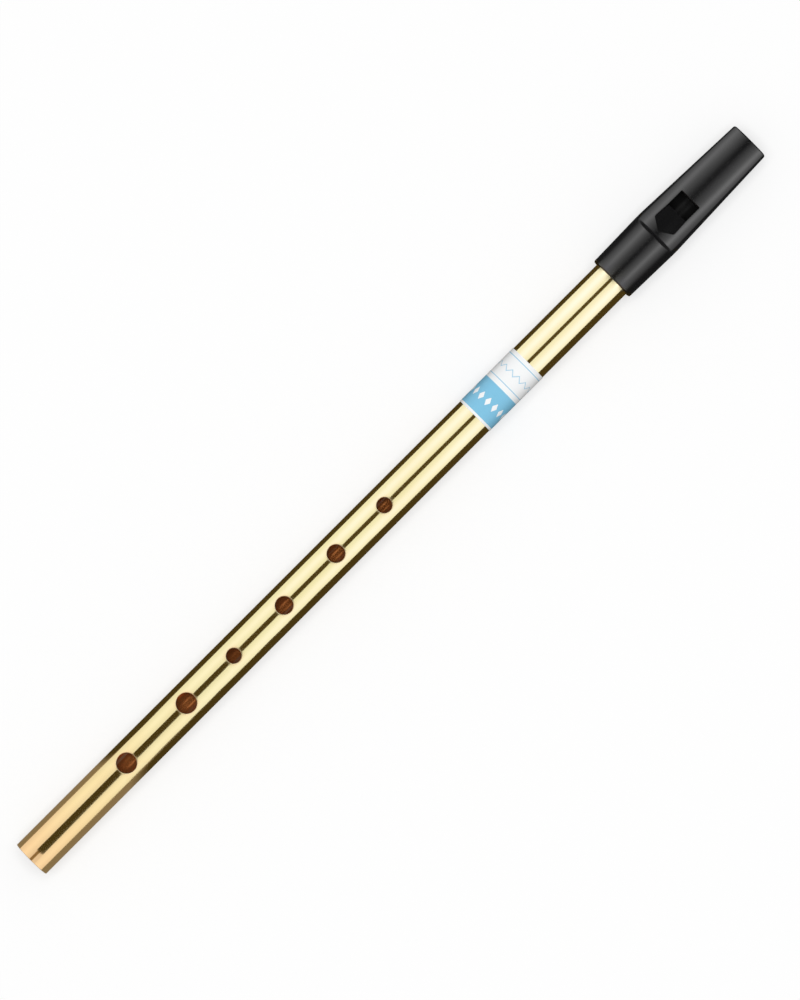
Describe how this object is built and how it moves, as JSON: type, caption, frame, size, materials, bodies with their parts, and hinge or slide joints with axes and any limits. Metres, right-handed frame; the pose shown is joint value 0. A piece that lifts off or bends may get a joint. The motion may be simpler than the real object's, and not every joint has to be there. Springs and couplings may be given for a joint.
{
  "type": "tin whistle",
  "caption": "Straight brass tube with finger holes along its front and a push-on black plastic mouthpiece that slides along the tube to tune it.",
  "frame": {"origin": "centre of the tube's bore at the open end of the foot", "axes": "+X along the tube from the foot to the beak's tip, +Z towards the side with the finger holes and the window"},
  "size_m": [0.2947, 0.0152, 0.0153],
  "materials": {
    "polished_brass": "bright drawn and polished, lacquered",
    "black_plastic": "satin moulded",
    "block_plastic": "fine matt moulded",
    "label_film": "semi-gloss printed film, blue and white halves"
  },
  "bodies": {
    "tube": {"body_tube": "polished_brass", "label_sticker": "label_film"},
    "head": {"mouthpiece": "black_plastic", "fipple_block": "block_plastic"}
  },
  "joints": [
    {"name": "tuning_slide", "type": "slide", "parent": "tube", "child": "head", "axis": [1, 0, 0], "range_m": [0, 0.01]}
  ]
}
